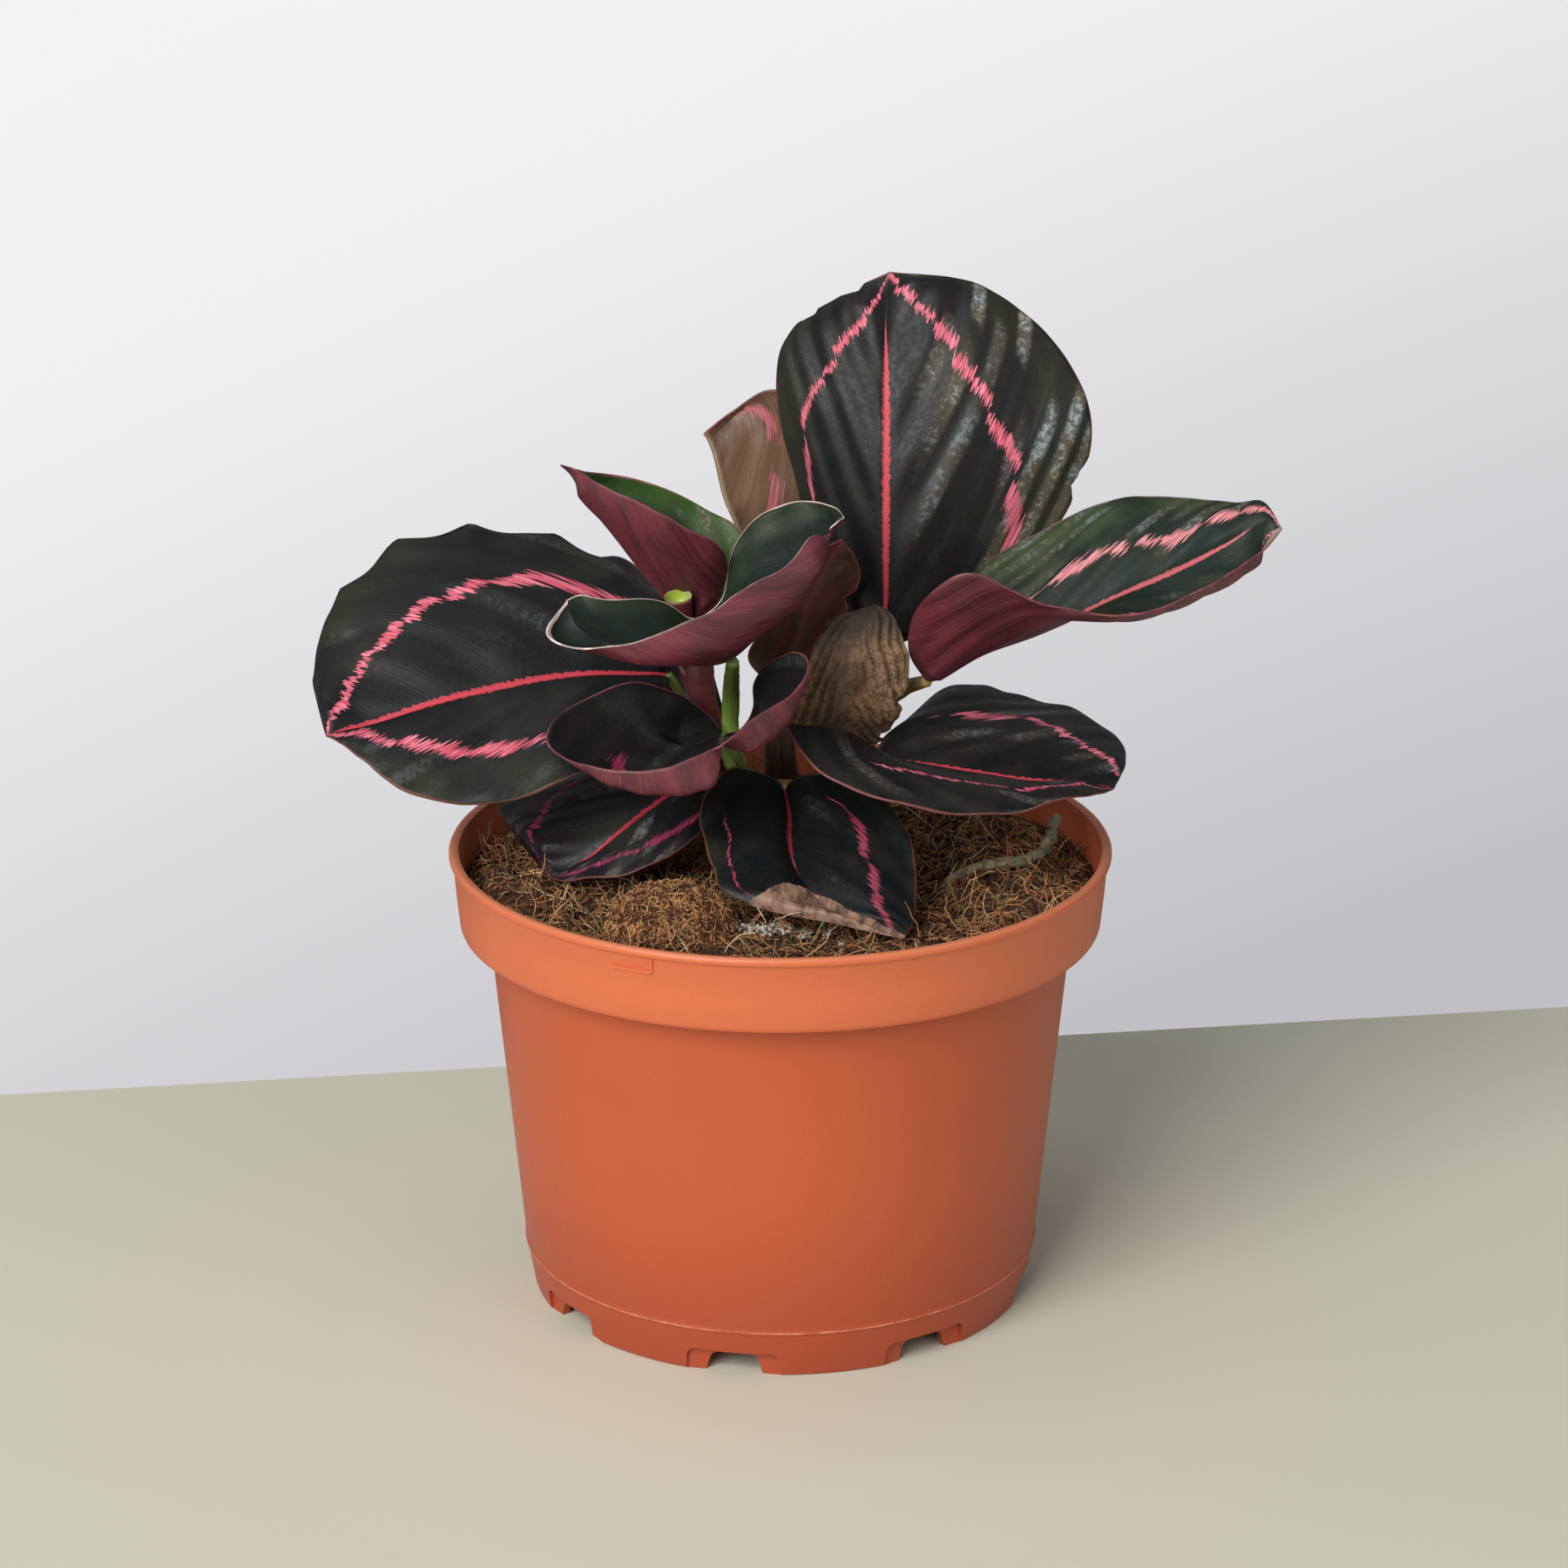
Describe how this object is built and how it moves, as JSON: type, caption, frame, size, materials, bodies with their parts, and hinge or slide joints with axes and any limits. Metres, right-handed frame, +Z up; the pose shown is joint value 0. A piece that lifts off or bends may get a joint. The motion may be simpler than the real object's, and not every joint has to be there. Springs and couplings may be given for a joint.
{
  "type": "potted calathea",
  "caption": "Live foliage plant with broad painted oval leaves on short stalks, growing from potting mix in a round tapered nursery pot.",
  "frame": {"origin": "on the table, in the middle of the footprint of the whole plant and pot", "axes": "+Z up along the pot's axis, +X to the right as seen from the front, +Y to the back"},
  "size_m": [0.2194, 0.152, 0.2322],
  "materials": {
    "terracotta_plastic": "satin",
    "potting_mix": "matte",
    "coir": "matte",
    "bark": "matte",
    "leaf_dark": "satin",
    "leaf_green": "satin",
    "leaf_underside": "satin",
    "leaf_dry": "matte",
    "stalk_green": "satin",
    "stalk_red": "satin",
    "stalk_olive": "satin"
  },
  "bodies": {
    "root": {"pot": "terracotta_plastic", "potting_mix": "potting_mix", "coir_plug": "coir", "twig": "bark", "leaf_tall": "leaf_dark", "leaf_left": "leaf_dark", "leaf_right": "leaf_green", "leaf_lower_right": "leaf_dark", "leaf_front": "leaf_dark", "leaf_front_left": "leaf_dark", "leaf_cupped": "leaf_green", "leaf_folded": "leaf_green", "leaf_rolled": "leaf_green", "leaf_back_left": "leaf_dark", "leaf_inner": "leaf_underside", "leaf_back": "leaf_underside", "leaf_dead": "leaf_dry", "new_leaf_roll": "leaf_green", "stalk_tall": "stalk_olive", "stalk_left": "stalk_green", "stalk_right": "stalk_olive", "stalk_lower_right": "stalk_olive", "stalk_front": "stalk_olive", "stalk_front_left": "stalk_olive", "stalk_cupped": "stalk_green", "stalk_folded": "stalk_green", "stalk_rolled": "stalk_red", "stalk_back_left": "stalk_green", "stalk_inner": "stalk_red", "stalk_back": "stalk_green", "stalk_dead": "leaf_dry"}
  },
  "joints": []
}
